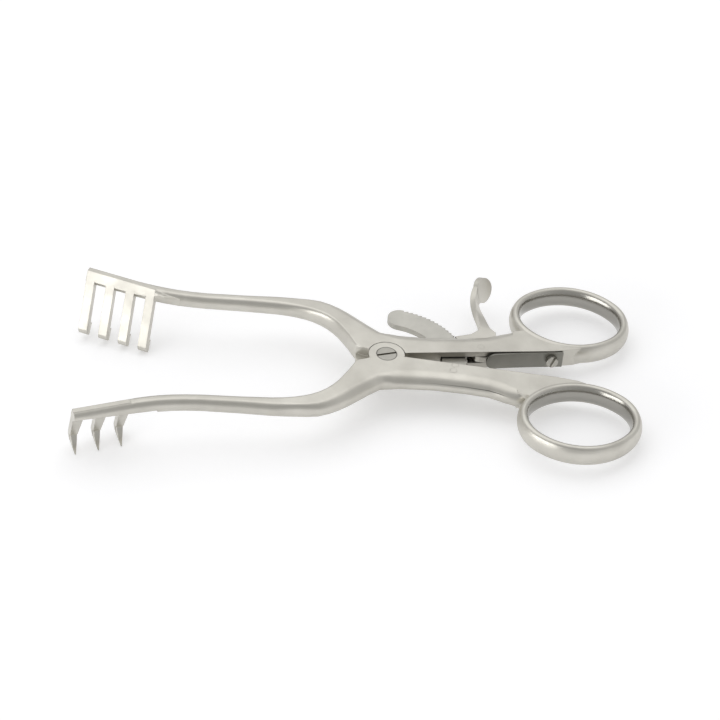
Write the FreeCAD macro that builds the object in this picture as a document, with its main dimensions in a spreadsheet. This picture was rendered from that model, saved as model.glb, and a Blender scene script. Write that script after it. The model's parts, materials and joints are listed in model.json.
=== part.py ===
import FreeCAD, Part
import Sketcher
import math
import os
from FreeCAD import Placement, Rotation, Vector

# Self retaining retractor, a spring-loaded ratchet instrument with two rakes.
# The instrument lies in its own plane: origin on the pivot axis at mid thickness,
# +X towards the finger rings, +Y towards the four-pronged arm, +Z up.
# At the end it is laid on a table, on its prong tips and ring undersides.

DOC = FreeCAD.newDocument("retractor")

# Driving dimensions in millimetres and degrees
SIZES = (
    # handles, lap joint and bars
    ("arm_thickness", 6.0),
    ("handle_bulge", 4.2),
    ("inner_edge_start", 5.3),
    ("inner_edge_rise", 0.9),
    ("inner_edge_angle", 6.46),
    ("bar_width", 4.4),
    ("bar_height", 4.7),
    ("bar_spread", 23.5),
    ("bar_end_x", -33.0),
    ("bar_end_flank", 1.2),
    ("bar_flat", 0.7),
    ("spine_angle", 20.0),
    ("far_blade_reach", 90.6),
    ("near_blade_reach", 89.4),
    ("blade_spread", 32.9),
    # lap joint
    ("ear_radius", 5.34),
    ("ear_gap", 0.18),
    ("lap_gap", 0.04),
    ("ear_tail_reach", 9.0),
    ("upper_ear_angle", 183.0),
    ("lower_ear_angle", 157.0),
    ("upper_wall_angle", 160.0),
    ("lower_wall_angle", 147.0),
    # pivot screw
    ("screw_head_diameter", 5.8),
    ("screw_head_height", 1.5),
    ("screw_shank_diameter", 3.6),
    ("screw_slot_width", 0.7),
    ("screw_slot_depth", 0.8),
    ("screw_slot_turn", 17.0),
    ("running_gap", 0.05),
    ("seat_gap", 0.02),
    # finger rings
    ("ring_centre_x", 56.1),
    ("ring_centre_y", 22.84),
    ("ring_half_length", 16.56),
    ("ring_half_width", 13.89),
    ("ring_turn", 4.96),
    ("ring_section_width", 3.5),
    ("ring_section_height", 6.5),
    ("ring_end_radius", 11.9),
    ("ring_edge_radius", 1.2),
    ("web_start_x", 34.0),
    ("web_full_x", 50.0),
    ("flush_step", 0.02),
    # rakes
    ("rake_thickness", 2.3),
    ("rake_top_width", 1.6),
    ("rake_top_inset", 0.75),
    ("rake_lean", 28.5),
    ("rake_skew", 3.6),
    ("rake_depth", 16.5),
    ("rake_knee_height", 3.0),
    ("hook_length", 7.4),
    ("prong_width", 2.8),
    ("far_prong_pitch", 6.55),
    ("near_prong_pitch", 6.85),
    ("far_prong_count", 4),
    ("near_prong_count", 3),
    ("slot_top_depth", 3.6),
    ("rake_root_depth", 3.0),
    ("prong_tip_width", 0.4),
    ("prong_tip_offset", 0.8),
    ("claw_tip_offset", 0.1),
    ("claw_taper", 0.9),
    ("claw_extra_width", 0.3),
    # ratchet bar
    ("rack_inner_radius", 16.7),
    ("rack_outer_radius", 24.3),
    ("rack_thickness", 1.8),
    ("rack_tip_angle", 77.5),
    ("rack_root_angle", -20.0),
    ("tooth_pitch_angle", 3.45),
    ("tooth_depth", 0.6),
    ("tooth_count", 23),
    ("rack_slot_gap", 0.3),
    ("rack_pin_diameter", 2.0),
    ("rack_pin_angle", -9.5),
    ("rack_pin_step", -7.0),
    # release lever
    ("lever_pin_x", 28.3),
    ("lever_pin_y", 5.9),
    ("lever_pin_diameter", 2.0),
    ("lever_thickness", 2.0),
    ("lever_slot_height", 2.5),
    ("lever_slot_end", 35.2),
    ("pawl_gap", 0.06),
    ("tab_centre_x", 29.9),
    ("tab_centre_y", 37.3),
    ("tab_half_length", 3.7),
    ("tab_half_height", 4.0),
    ("tab_thickness", 1.7),
    ("tab_turn", 35.0),
    ("tab_twist", 70.0),
    # leaf spring and its screw
    ("spring_thickness", 0.6),
    ("spring_height", 5.3),
    ("spring_start_x", 29.8),
    ("spring_seat_x", 45.5),
    ("spring_end_x", 53.0),
    ("spring_lift", 0.7),
    ("spring_screw_x", 49.6),
    ("spring_screw_head_diameter", 3.6),
    ("spring_screw_head_height", 1.3),
    ("spring_screw_shank_diameter", 1.8),
    ("spring_screw_length", 3.4),
    ("spring_screw_slot_turn", 20.0),
)

sheet = DOC.addObject("Spreadsheet::Sheet", "sizes")
for row, (alias, value) in enumerate(SIZES, start=1):
    sheet.set("A%d" % row, alias)
    sheet.set("B%d" % row, str(value))
    sheet.setAlias("B%d" % row, alias)
DOC.recompute()


def size(alias):
    """A driving dimension as the sheet holds it."""
    return float(sheet.get(alias))


HALF = size("arm_thickness") / 2
LAP = size("lap_gap") / 2
CLEAR_HEIGHT = 10.0  # half height of cutters that clear the whole instrument
FLANK_TURN = 130.0  # degrees about the bar from its outer side down to the flank
SMOOTH_TURN = 5.0  # degrees between two key rows that call for one more between them
SMOOTH_SWELL = 0.5  # millimetres of side radius that do the same
TAB_DISH = 14.0  # radius of the thumb tab's hollow face


def polar(radius, angle, z=0.0):
    """A point in the instrument's plane at a radius and an angle from the pivot."""
    return Vector(radius * math.cos(math.radians(angle)), radius * math.sin(math.radians(angle)), z)


def slab(points, low, high):
    """A flat-sided solid over a closed outline of plan points."""
    corners = [Vector(x, y, low) for x, y in points]
    outline = Part.makePolygon(corners + corners[:1])
    return Part.Face(outline).extrude(Vector(0, 0, high - low))


def disc(radius, low, high, x=0.0, y=0.0):
    """A round solid standing between two heights."""
    return Part.makeCylinder(radius, high - low, Vector(x, y, low))


def band(inner, outer, start, end, low, high):
    """A curved strip about the pivot axis between two angles."""
    centre = Vector(0, 0, low)
    ring = Part.makeCylinder(outer, high - low, centre, Vector(0, 0, 1), end - start)
    ring = ring.cut(Part.makeCylinder(inner, high - low, centre, Vector(0, 0, 1), 360))
    ring.rotate(Vector(), Vector(0, 0, 1), start)
    return ring


def mirrored(shape):
    """The same shape on the other side of the instrument's centre line."""
    return shape.mirror(Vector(), Vector(0, 1, 0))


# Arms

QUARTER = 0.5523  # handle length of a cubic curve that follows a quarter ellipse


def quarter_arc(start, corner, end):
    """A quarter of an ellipse from start to end, bending round its corner point."""
    curve = Part.BezierCurve()
    curve.setPoles([start, start + (corner - start) * QUARTER, end + (corner - end) * QUARTER, end])
    return curve.toShape()


def arm_section(x, y, heading, flat, inner, outer, half_height):
    """One cross-section of an arm: flat top and bottom between two rounded sides."""
    side = Vector(-math.sin(math.radians(heading)), math.cos(math.radians(heading)), 0)
    centre = Vector(x, y, 0)
    up = Vector(0, 0, half_height)
    inner_edge = centre - side * flat
    outer_edge = centre + side * flat
    bulge_out = outer_edge + side * outer
    bulge_in = inner_edge - side * inner
    edges = [
        Part.makeLine(inner_edge + up, outer_edge + up),
        quarter_arc(outer_edge + up, bulge_out + up, bulge_out),
        quarter_arc(bulge_out, bulge_out - up, outer_edge - up),
        Part.makeLine(outer_edge - up, inner_edge - up),
        quarter_arc(inner_edge - up, bulge_in - up, bulge_in),
        quarter_arc(bulge_in, bulge_in + up, inner_edge + up),
    ]
    return Part.Wire(edges)


def inner_edge_y(x):
    """Distance of a handle's flat inner face from the centre line."""
    slope = math.tan(math.radians(size("inner_edge_angle")))
    return size("inner_edge_rise") + (x - size("inner_edge_start")) * slope


def arm_rows(reach):
    """Key cross-sections of the four-pronged arm from the blade's end to the finger ring."""
    flat = size("bar_flat") / 2
    side = size("bar_width") / 2 - flat
    tall = size("bar_height") / 2
    low = tall - 0.1
    bulge = size("handle_bulge")
    spread = size("bar_spread")
    tilt = size("spine_angle")
    slope = math.tan(math.radians(tilt))
    rows = []
    for run in (0, 3, 8, 14):
        rows.append((run - reach, size("blade_spread") - run * slope, -tilt, flat, side, side, low))
    spine_end = rows[-1][0]
    rise = rows[-1][1] - spread
    bar = size("bar_end_x") - spine_end
    for share, lift, heading, wide in (
            (0.155, 0.53, -14, 1), (0.317, 0.19, -8, 1), (0.514, 0.02, -2, 1), (0.79, 0, 0, 1.07)):
        rows.append((spine_end + share * bar, spread + lift * rise, heading,
                     flat, side * wide, side * wide, tall * math.sqrt(wide)))
    rows += [
        (size("bar_end_x"), spread - 0.05, -2, flat * 1.8, side * 1.1, side * 1.1, tall * 1.04),
        (-26.5, spread - 0.6, -9, 1.2, side * 0.88, side * 0.8, HALF * 0.83),
        (-20.9, spread - 2.0, -24, 1.6, side * 0.8, side * 1.2, HALF * 0.89),
        (-16.2, spread - 4.95, -39, 1.6, side * 0.75, side * 1.5, HALF * 0.96),
        (-12.3, spread - 8.9, -48, 1.95, side * 0.65, bulge * 0.72, HALF),
        (-8.8, spread - 13.2, -50, 2.9, side * 0.5, bulge * 0.68, HALF),
        (-6.2, spread - 16.7, -48, 3.8, side * 0.4, bulge * 0.72, HALF),
        (-1.8, 4.2, -26, 4.4, 0.6, bulge * 0.79, HALF),
        (2.9, 3.35, -5, 3.7, 0.6, bulge * 0.95, HALF),
    ]
    for x, outer_y in ((8.4, 6.7), (15.2, 6.6), (24.2, 7.35), (31.0, 8.4)):
        inner_y = inner_edge_y(x) - 0.8
        rows.append((x - 0.3, (inner_y + outer_y) / 2, 6, (outer_y - inner_y) / 2, 0.6, bulge, HALF))
    rows.append((36.0, 7.3, 12, 3.3, 0.6, bulge * 0.95, HALF))
    rows.append((39.4, 8.4, 12, 3.6, 0.6, bulge * 0.88, HALF))
    rows.append((42.0, 9.3, 4, 3.8, 0.6, bulge * 0.3, HALF))
    return rows


def between(before, start, end, after):
    """The row half way between two key rows, on a smooth curve through their neighbours."""
    return tuple((9 * (b + c) - a - d) / 16 for a, b, c, d in zip(before, start, end, after))


def arm_sections(reach):
    """Sections of an arm, with one more half way wherever its run or shape turns."""
    rows = arm_rows(reach)
    sections = [arm_section(*rows[0])]
    for number in range(1, len(rows)):
        start, end = rows[number - 1], rows[number]
        before = rows[max(number - 2, 0)]
        after = rows[min(number + 1, len(rows) - 1)]
        if abs(end[2] - start[2]) > SMOOTH_TURN or abs(end[5] - start[5]) > SMOOTH_SWELL:
            sections.append(arm_section(*between(before, start, end, after)))
        sections.append(arm_section(*end))
    return sections


def ring_frame():
    """Centre and turn of the finger ring of the four-pronged arm."""
    centre = Vector(size("ring_centre_x"), size("ring_centre_y"), 0)
    return Placement(centre, Rotation(Vector(0, 0, 1), -size("ring_turn")))


def oval(half_long, half_short, end_radius):
    """Side radius and centre offsets of an oval made of four tangent arcs."""
    side_radius = (half_long ** 2 + half_short ** 2 - 2 * half_long * end_radius) / (
        2 * (half_short - end_radius))
    return side_radius, half_long - end_radius, side_radius - half_short


def ring_section():
    """The ring's oval section, taller than wide, round the origin in the XZ plane."""
    tall = size("ring_section_height") / 2
    wide = size("ring_section_width") / 2
    radius = size("ring_edge_radius")
    _, end_offset, side_offset = oval(tall, wide, radius)
    lean = math.atan2(side_offset, end_offset)
    x = radius * math.sin(lean)
    z = end_offset + radius * math.cos(lean)
    corners = [Vector(x, 0, z), Vector(-x, 0, z), Vector(-x, 0, -z), Vector(x, 0, -z)]
    crowns = [Vector(0, 0, tall), Vector(-wide, 0, 0), Vector(0, 0, -tall), Vector(wide, 0, 0)]
    turns = zip(corners, crowns, corners[1:] + corners[:1])
    return Part.Wire([arc_edge(start, crown, end) for start, crown, end in turns])


def finger_ring():
    """A bow of oval section that follows an oval of four arcs."""
    end_radius = size("ring_end_radius")
    side_radius, end_offset, side_offset = oval(
        size("ring_half_length"), size("ring_half_width"), end_radius)
    meet = math.degrees(math.atan2(side_offset, end_offset))
    up = Vector(0, 0, 1)
    arcs = []
    for x, y, radius, start, sweep in (
            (end_offset, 0, end_radius, -meet, 2 * meet),
            (0, -side_offset, side_radius, meet, 180 - 2 * meet),
            (-end_offset, 0, end_radius, 180 - meet, 2 * meet),
            (0, side_offset, side_radius, 180 + meet, 180 - 2 * meet)):
        centre = Vector(x, y, 0)
        section = ring_section()
        section.translate(Vector(radius, 0, 0))
        section.rotate(Vector(), up, start)
        section.translate(centre)
        arcs.append(Part.Face(section).revolve(centre, up, sweep))
    ring = arcs[0].fuse(arcs[1:]).removeSplitter()
    ring.Placement = ring_frame()
    return ring


def ring_spot(angle):
    """A point on the ring's middle line, by its angle in the ring's own frame."""
    turn = math.radians(angle)
    x = size("ring_half_length") * math.cos(turn)
    y = size("ring_half_width") * math.sin(turn)
    return ring_frame().multVec(Vector(x, y, 0))


def ring_web():
    """The flat web in the corner between ring and inner face, running out along the ring."""
    half = HALF - size("flush_step")
    start_x = size("web_start_x")
    full_x = size("web_full_x")
    points = [(start_x, start_x * 0.26), (start_x, inner_edge_y(start_x))]
    points.append((full_x, inner_edge_y(full_x)))
    last = ring_spot(-85)
    points.append((last.x, last.y - size("ring_section_width") / 2))
    for angle in range(-65, -153, -11):
        spot = ring_spot(angle)
        points.append((spot.x, spot.y))
    points += [(start_x + 4.3, 14.0), (start_x + 3.5, 9.9)]
    return slab(points, -half, half)


# Rakes

def rake_frame(reach):
    """Frame of a rake: x along the spine towards the joint, y outwards, z up."""
    turn = Rotation(Vector(0, 0, 1), -size("spine_angle"))
    return Placement(Vector(-reach, size("blade_spread"), 0), turn)


def skew_shift(drop):
    """How far a prong has slanted back towards the joint at a depth below the rake's top."""
    return drop * math.tan(math.radians(size("rake_skew")))


def rake_profile():
    """Side view of a prong: leaning plate, rounded knee and outward hook."""
    top = size("bar_height") / 2
    lean = math.tan(math.radians(size("rake_lean")))
    depth = size("rake_depth")
    thick = size("rake_thickness")
    inset = -size("rake_top_inset")
    knee_z = -depth + size("rake_knee_height")
    inner_top = Vector(0, inset, top)
    inner_knee = Vector(0, inset - (top - knee_z) * lean, knee_z)
    heel = Vector(0, inner_knee.y + 1.1, -depth + 0.5)
    tip = Vector(0, inner_knee.y + size("hook_length"), -depth)
    bend = Vector(0, inner_knee.y + thick + 0.4, knee_z + 0.4)
    neck = Vector(0, inset - (top + 2.2) * lean + thick, -2.2)
    shoulder = Vector(0, 1.3, -0.4)
    outer_top = Vector(0, inset + size("rake_top_width"), top)
    edges = [
        Part.makeLine(inner_top, inner_knee),
        arc_edge(inner_knee, Vector(0, inner_knee.y + 0.05, knee_z - 1.5), heel),
        Part.makeLine(heel, tip),
        arc_edge(tip, Vector(0, bend.y + 1.35, -depth + 1.75), bend),
        Part.makeLine(bend, neck),
        Part.makeLine(neck, shoulder),
        Part.makeLine(shoulder, outer_top),
        Part.makeLine(outer_top, inner_top),
    ]
    profile = Part.Wire(edges)
    profile.rotate(Vector(0, 0, top), Vector(0, 1, 0), -size("rake_skew"))
    return profile


def arc_edge(start, through, end):
    """A circular edge through three points."""
    return Part.Arc(start, through, end).toShape()


def rake(count, pitch, claws):
    """A rake of prongs hanging from the end of a bar, straight ones or tapering claws."""
    top = size("bar_height") / 2
    width = size("prong_width") + (size("claw_extra_width") if claws else 0)
    length = (count - 1) * pitch + width
    plate = Part.Face(rake_profile()).extrude(Vector(length, 0, 0))
    lean = math.cos(math.radians(size("rake_lean")))
    slot_drop = size("slot_top_depth") * lean
    knee_drop = top + size("rake_depth") - size("rake_knee_height")
    deep = 2 * size("rake_depth")
    gap = pitch - width
    narrow = size("claw_taper") if claws else 0
    offset = size("claw_tip_offset") if claws else size("prong_tip_offset")
    cutters = tip_tapers(count, pitch, width - narrow, offset)
    for number in range(count):
        start = number * pitch + width
        end = start + gap
        crown = gap / 2 if claws else 0
        outline = [
            (start, -crown),
            (start - narrow, (slot_drop - knee_drop) / lean),
            (start - narrow, -deep),
            (end, -deep),
            (end, -crown),
        ]
        cutter = slab(outline, -deep / 2, deep / 2)
        if claws:
            cutter = cutter.fuse(disc(crown, -deep / 2, deep / 2, start + crown, -crown))
        cutter.rotate(Vector(), Vector(1, 0, 0), 90 - size("rake_lean"))
        cutter.rotate(Vector(), Vector(0, 1, 0), -size("rake_skew"))
        cutter.translate(Vector(skew_shift(slot_drop), 0, top - slot_drop))
        cutters.append(cutter)
    return plate.cut(cutters)


def tip_tapers(count, pitch, width, offset):
    """Wedges that grind each hook from the knee's full width down to its point."""
    tip = size("prong_tip_width")
    lean = math.tan(math.radians(size("rake_lean")))
    depth = size("rake_depth")
    top = size("bar_height") / 2
    knee_y = -size("rake_top_inset") - (top + depth - size("rake_knee_height")) * lean
    start_y = knee_y + 1.6
    end_y = knee_y + size("hook_length") + 0.02
    low = -depth - 1
    high = -depth + size("rake_knee_height") + 0.6
    wedges = []
    for number in range(count):
        left = number * pitch + skew_shift(top + depth)
        right = left + width
        middle = left + offset
        for edge, side in ((left, -1), (right, 1)):
            outline = [
                (edge, start_y),
                (middle + side * tip / 2, end_y),
                (middle + side * tip / 2, end_y + 1),
                (edge + side * 1.5, end_y + 1),
                (edge + side * 1.5, start_y),
            ]
            wedges.append(slab(outline, low, high))
    return wedges


def rake_root(count, pitch):
    """The plate's upper edge running out into the round bar behind the last prong."""
    length = (count - 1) * pitch + size("prong_width")
    top = size("bar_height") / 2
    lean = math.tan(math.radians(size("rake_lean")))
    drop = size("rake_root_depth")
    inset = -size("rake_top_inset")
    start_x = length - 0.4
    start = [
        Vector(start_x, inset + 1.4, top - 0.05),
        Vector(start_x, inset, top - 0.05),
        Vector(start_x, inset - drop * lean, top - drop),
        Vector(start_x, inset + 1.6, top - drop),
    ]
    end_x = length + 8
    inside = size("bar_width") * 0.28
    end = [
        Vector(end_x, inside, inside),
        Vector(end_x, -inside / 2, inside),
        Vector(end_x, -inside / 2, -inside),
        Vector(end_x, inside, -inside),
    ]
    wires = [Part.makePolygon(corners + corners[:1]) for corners in (start, end)]
    return Part.makeLoft(wires, True, True)


def bar_cut(edge, turn):
    """Wedge that thins the bar on one side; its edge is given as run and distance from the bar's axis."""
    wide = size("bar_width")
    start, end = edge[0][0], edge[-1][0]
    deep = 2 * edge[-1][1]
    outline = [(run, -distance) for run, distance in edge] + [(end, -deep), (start, -deep)]
    wedge = slab(outline, -wide, wide)
    wedge.rotate(Vector(), Vector(1, 0, 0), turn)
    return wedge


def full_arm(reach, count, pitch, claws):
    """Bar, handle, finger ring and rake of one arm before the lap joint is cut."""
    length = (count - 1) * pitch + size("prong_width")
    lean = math.radians(size("rake_lean"))
    top = size("bar_height") / 2
    round_side = top + 0.02
    flat = top * math.sin(lean) + size("rake_top_inset") * math.cos(lean) - size("flush_step")
    cuts = [
        bar_cut([(-1, size("bar_end_flank")), (length + 8, round_side)], FLANK_TURN),
        bar_cut([(-1, flat), (length, flat), (length + 8, round_side)], -size("rake_lean")),
    ]
    for cut in cuts:
        cut.Placement = rake_frame(reach).multiply(cut.Placement)
    body = Part.makeLoft(arm_sections(reach), True, True).cut(cuts)
    body = finger_ring().fuse(ring_web()).fuse(body)
    for piece in (rake(count, pitch, claws), rake_root(count, pitch)):
        piece.Placement = rake_frame(reach).multiply(piece.Placement)
        body = body.fuse(piece)
    return body


# Lap joint and slots

def keep_out(angle):
    """Plan outline that belongs to the other arm, from the joint's wall to the ring."""
    far_x = size("ring_centre_x") + 1.5
    wall = polar(14, angle)
    return [
        (0, 0),
        (size("inner_edge_start"), size("inner_edge_rise")),
        (far_x, inner_edge_y(far_x)),
        (far_x, -20),
        (-14, -20),
        (-14, wall.y - 6),
        (wall.x, wall.y),
    ]


def lapped_arm(reach, rake_values, ear_angle, wall_angle, level):
    """An arm with its half-thickness ear and the recess for the other arm's ear.

    level is -1 where the ear is the lower half of the joint and +1 where it is the upper.
    """
    ear_low, ear_high = sorted((level * LAP, level * (HALF - size("flush_step"))))
    own_low, own_high = sorted((level * LAP, level * CLEAR_HEIGHT))
    other_low, other_high = sorted((-level * CLEAR_HEIGHT, level * LAP))
    tail_reach = size("ear_tail_reach")
    body = full_arm(reach, *rake_values)
    tail = polar(tail_reach, ear_angle)
    plate = slab([(0, 5), (-tail_reach, 5), (tail.x, tail.y), (0, 0)], ear_low, ear_high)
    body = body.fuse(plate)
    body = body.cut(slab(keep_out(ear_angle), own_low, own_high))
    body = body.fuse(disc(size("ear_radius"), ear_low, ear_high))
    recess = disc(size("ear_radius") + size("ear_gap"), other_low, other_high)
    return body.cut([slab(keep_out(wall_angle), other_low, other_high), recess])


def flush_hole(x, y, diameter):
    """A hole for a pin that ends flush with both flat faces of a handle."""
    return disc(diameter / 2 + size("seat_gap"), -CLEAR_HEIGHT, CLEAR_HEIGHT, x, y)


def far_arm():
    """The four-pronged arm: ear below, screw thread, slot for rack and lever."""
    teeth = (round(size("far_prong_count")), size("far_prong_pitch"), False)
    body = lapped_arm(
        size("far_blade_reach"), teeth, size("upper_ear_angle"), size("upper_wall_angle"), -1)
    slot_half = size("lever_slot_height") / 2
    gap = size("rack_slot_gap")
    rack_way = band(
        size("rack_inner_radius") - gap, size("rack_outer_radius") + gap, -10, 60, -slot_half, slot_half)
    end_x = size("lever_slot_end")
    lever_way = slab([(21, -1), (end_x, -1), (end_x, 15.5), (21, 15.5)], -slot_half, slot_half)
    lever_pin_x = size("lever_pin_x")
    lever_pin_y = size("lever_pin_y")
    screw_x = size("spring_screw_x")
    thread = spring_screw_placement(screw_x).multVec(Vector(0, 0, -size("spring_screw_length")))
    inwards = spring_screw_placement(screw_x).Rotation.multVec(Vector(0, 0, 1))
    radius = size("spring_screw_shank_diameter") / 2 + size("seat_gap")
    return body.cut([
        rack_way,
        lever_way,
        disc(size("screw_shank_diameter") / 2 + size("seat_gap"), -CLEAR_HEIGHT, CLEAR_HEIGHT),
        flush_hole(lever_pin_x, lever_pin_y, size("lever_pin_diameter")),
        Part.makeCylinder(radius, size("spring_screw_length") + 2, thread, inwards),
    ])


def rack_pin_spots():
    """Where the two rack pins stand, before the arm is mirrored."""
    middle = (size("rack_inner_radius") + size("rack_outer_radius")) / 2
    angle = size("rack_pin_angle")
    return [polar(middle, angle), polar(middle, angle + size("rack_pin_step"))]


def near_arm():
    """The three-pronged arm: ear on top, seat of the screw head, slot for the rack."""
    teeth = (round(size("near_prong_count")), size("near_prong_pitch"), True)
    body = lapped_arm(
        size("near_blade_reach"), teeth, size("lower_ear_angle"), size("lower_wall_angle"), 1)
    body = mirrored(body)
    run = size("running_gap")
    seat = size("seat_gap")
    head_low = HALF - size("screw_head_height") - seat
    slot_half = size("rack_thickness") / 2 + seat
    holes = [
        disc(size("screw_head_diameter") / 2 + run, head_low, CLEAR_HEIGHT),
        disc(size("screw_shank_diameter") / 2 + run, -CLEAR_HEIGHT, CLEAR_HEIGHT),
        band(size("rack_inner_radius") - seat, size("rack_outer_radius") + seat,
             size("rack_root_angle") - 0.05, 5, -slot_half, slot_half),
    ]
    for spot in rack_pin_spots():
        holes.append(flush_hole(spot.x, spot.y, size("rack_pin_diameter")))
    return body.cut(holes)


# Screws and pins

def origin_plane(body, role):
    """One of a body's own origin planes."""
    return next(item for item in body.Origin.OriginFeatures if item.Role == role)


def constrained_outline(sketch, corners):
    """A closed outline of level and upright lines, starting on the sketch's origin."""
    for first, second in zip(corners, corners[1:] + corners[:1]):
        sketch.addGeometry(Part.LineSegment(Vector(*first, 0), Vector(*second, 0)), False)
    count = len(corners)
    for line in range(count):
        sketch.addConstraint(Sketcher.Constraint("Coincident", line, 2, (line + 1) % count, 1))
        level = corners[line][1] == corners[(line + 1) % count][1]
        sketch.addConstraint(Sketcher.Constraint("Horizontal" if level else "Vertical", line))
    sketch.addConstraint(Sketcher.Constraint("Coincident", 0, 1, -1, 1))


def slotted_screw(name, head_radius, head_height, shank_radius, length, slot_width, slot_depth):
    """A slotted screw along its own Z axis, with the top of its head at height zero."""
    body = DOC.addObject("PartDesign::Body", name)
    profile = body.newObject("Sketcher::SketchObject", name + "_profile")
    profile.AttachmentSupport = [(origin_plane(body, "XZ_Plane"), "")]
    profile.MapMode = "FlatFace"
    constrained_outline(profile, [(0, 0), (3, 0), (3, -1), (2, -1), (2, -5), (0, -5)])
    for constraint_name, line, kind, expression in (
            ("head", 0, "DistanceX", head_radius),
            ("deep", 1, "DistanceY", head_height),
            ("end", 4, "DistanceX", shank_radius),
            ("length", 5, "DistanceY", length)):
        number = profile.addConstraint(Sketcher.Constraint(kind, line, 1, line, 2, 1.0))
        profile.renameConstraint(number, constraint_name)
        sign = "-1 * " if constraint_name in ("deep", "end") else ""
        profile.setExpression("Constraints." + constraint_name, sign + "(" + expression + ")")
    DOC.recompute()
    turned = body.newObject("PartDesign::Revolution", name + "_turned")
    turned.Profile = profile
    turned.ReferenceAxis = (profile, ["V_Axis"])
    turned.Angle = 360
    DOC.recompute()
    slot = body.newObject("Sketcher::SketchObject", name + "_slot")
    slot.AttachmentSupport = [(origin_plane(body, "XY_Plane"), "")]
    slot.MapMode = "FlatFace"
    corners = [(-5, -0.4), (5, -0.4), (5, 0.4), (-5, 0.4)]
    for first, second in zip(corners, corners[1:] + corners[:1]):
        slot.addGeometry(Part.LineSegment(Vector(*first, 0), Vector(*second, 0)), False)
    for line in range(4):
        slot.addConstraint(Sketcher.Constraint("Coincident", line, 2, (line + 1) % 4, 1))
        slot.addConstraint(Sketcher.Constraint("Vertical" if line % 2 else "Horizontal", line))
    slot.addConstraint(Sketcher.Constraint("Symmetric", 0, 1, 2, 1, -1, 1))
    for constraint_name, line, kind, expression in (
            ("run", 0, "DistanceX", "3 * (" + head_radius + ")"),
            ("width", 1, "DistanceY", slot_width)):
        number = slot.addConstraint(Sketcher.Constraint(kind, line, 1, line, 2, 1.0))
        slot.renameConstraint(number, constraint_name)
        slot.setExpression("Constraints." + constraint_name, expression)
    DOC.recompute()
    cut = body.newObject("PartDesign::Pocket", name + "_cut")
    cut.Profile = slot
    cut.setExpression("Length", slot_depth)
    DOC.recompute()
    return body


def pivot_screw():
    """Countersunk slotted screw whose head lies flush in the upper ear."""
    body = slotted_screw(
        "pivot_screw", "sizes.screw_head_diameter / 2", "sizes.screw_head_height",
        "sizes.screw_shank_diameter / 2", "sizes.arm_thickness",
        "sizes.screw_slot_width", "sizes.screw_slot_depth")
    turn = Rotation(Vector(0, 0, 1), size("screw_slot_turn"))
    return body, Placement(Vector(0, 0, HALF), turn)


def spring_screw_placement(x):
    """Where the spring screw's seat lies on the inner face, its axis square to that face."""
    angle = size("inner_edge_angle")
    face = Vector(x, inner_edge_y(x), 0)
    level = Rotation(Vector(0, 0, 1), angle).multiply(Rotation(Vector(1, 0, 0), 90))
    return Placement(face, level)


def spring_screw():
    """Small cheese-head screw that clamps the leaf spring."""
    head = "sizes.spring_screw_head_height"
    body = slotted_screw(
        "spring_screw", "sizes.spring_screw_head_diameter / 2", head,
        "sizes.spring_screw_shank_diameter / 2",
        head + " + sizes.spring_thickness + sizes.spring_screw_length",
        "sizes.screw_slot_width", "sizes.screw_slot_depth * 0.9")
    seat = spring_screw_placement(size("spring_screw_x"))
    lift = size("spring_screw_head_height") + size("spring_thickness") + size("seat_gap") * 2
    turn = Rotation(Vector(0, 0, 1), 90 - size("spring_screw_slot_turn"))
    return body, seat.multiply(Placement(Vector(0, 0, lift), turn))


def upright_pin(name, diameter):
    """A plain pin as long as the handles are thick."""
    pin = DOC.addObject("Part::Cylinder", name)
    pin.setExpression("Radius", "sizes." + diameter + " / 2")
    pin.setExpression("Height", "sizes.arm_thickness")
    return pin


def lever_pin():
    """The pin that the release lever turns on."""
    pin = upright_pin("lever_pin", "lever_pin_diameter")
    return pin, Placement(Vector(size("lever_pin_x"), size("lever_pin_y"), -HALF), Rotation())


def ratchet_pins():
    """Two pins that hold the rack in the lower handle, in one node."""
    pins = []
    for number, spot in enumerate(rack_pin_spots()):
        pin = upright_pin("ratchet_pin_%d" % number, "rack_pin_diameter")
        pin.Placement = Placement(Vector(spot.x, spot.y, -HALF), Rotation())
        pins.append(pin)
    pair = DOC.addObject("Part::Compound", "ratchet_pins")
    pair.Links = pins
    return pair, Placement()


# Ratchet bar

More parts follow.
